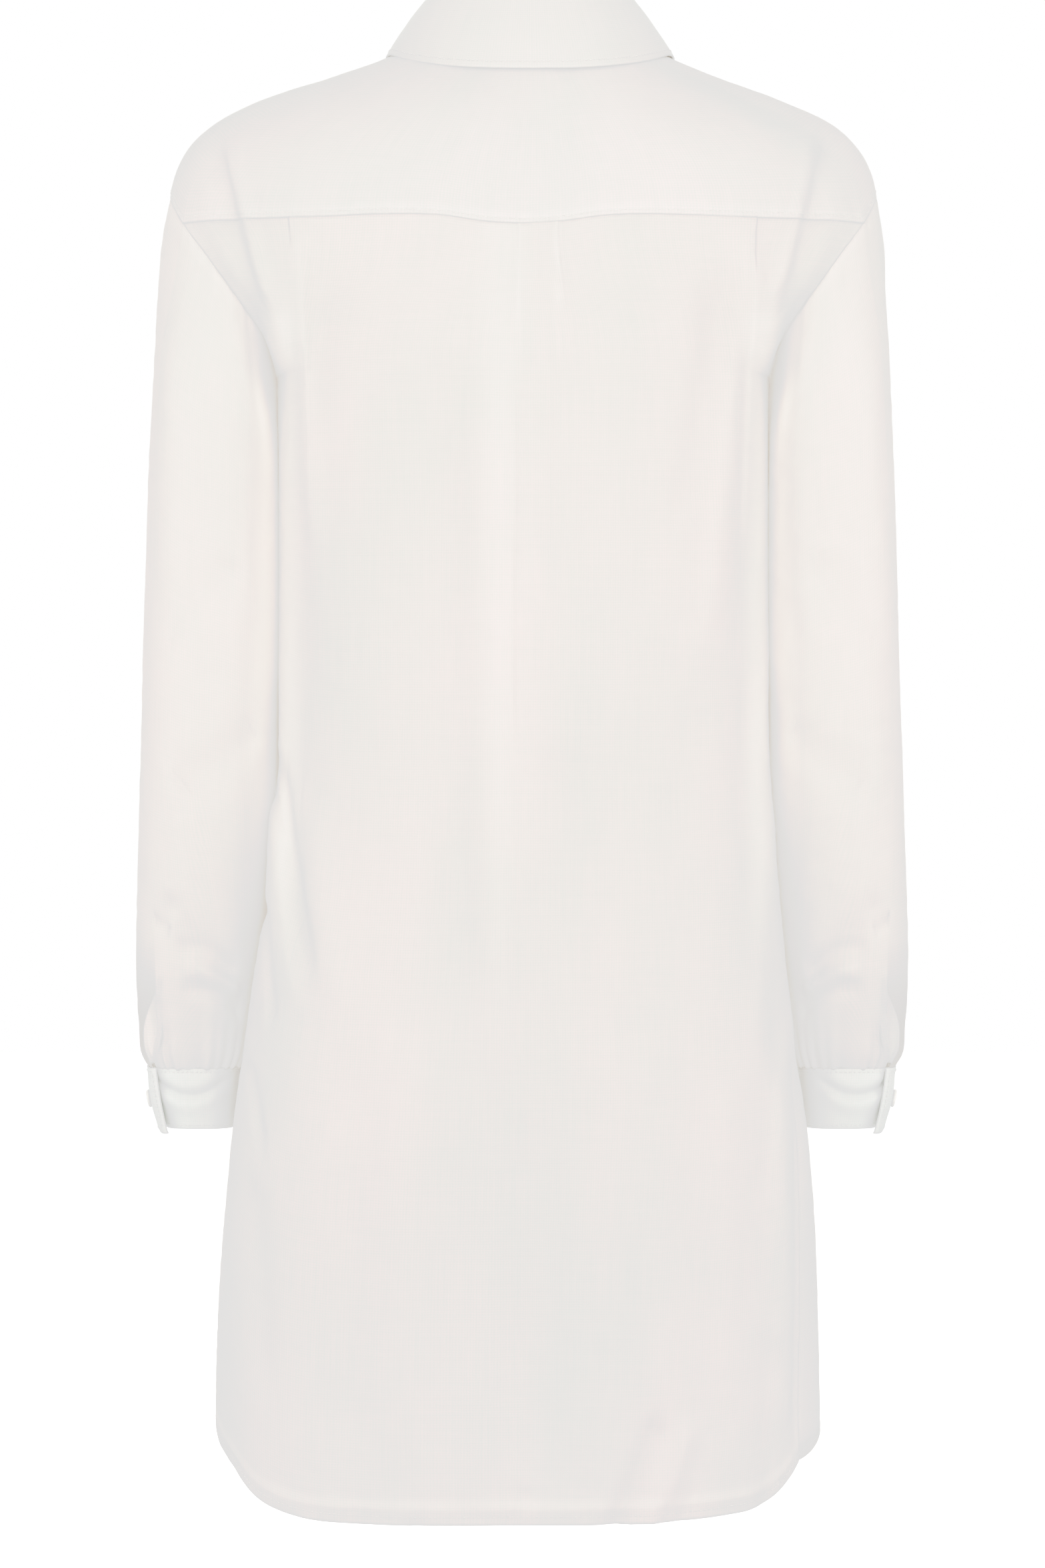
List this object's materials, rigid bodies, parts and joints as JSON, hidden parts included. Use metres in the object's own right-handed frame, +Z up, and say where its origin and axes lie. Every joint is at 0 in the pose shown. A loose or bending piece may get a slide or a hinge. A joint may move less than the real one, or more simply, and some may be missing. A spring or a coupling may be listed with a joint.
{
  "type": "shirt",
  "caption": "Hollow long-sleeved woven shirt, filled out as if worn, with a yoke, a box pleat at the back, buttoned cuffs and a dipped curved hem.",
  "frame": {"origin": "where the wearer's shoulders hold the shirt: midway between the shoulder points, level with the collar's lower edge at its sides", "axes": "+Z up, +Y towards the shirt's front, +X towards the right as seen from behind"},
  "size_m": [0.465, 0.2666, 0.8997],
  "materials": {
    "shirting": "fine ivory plain weave with slubs, slightly sheer",
    "stiffened": "the same ivory cloth over an interlining: band, collar and cuffs",
    "binding": "the same ivory cloth, folded narrow",
    "button": "pearl white resin"
  },
  "bodies": {
    "root": {"back": "shirting", "yoke": "shirting", "front_left": "shirting", "front_right": "shirting", "front_band": "stiffened", "collar_stand": "stiffened", "collar_fall": "stiffened", "sleeve_left": "shirting", "sleeve_right": "shirting", "slit_binding_left": "binding", "slit_binding_right": "binding", "cuff_left": "stiffened", "cuff_right": "stiffened", "button_front_1": "button", "button_front_2": "button", "button_front_3": "button", "button_front_4": "button", "button_front_5": "button", "button_front_6": "button", "button_front_7": "button", "button_collar": "button", "button_cuff_left": "button", "button_cuff_right": "button"}
  },
  "joints": []
}
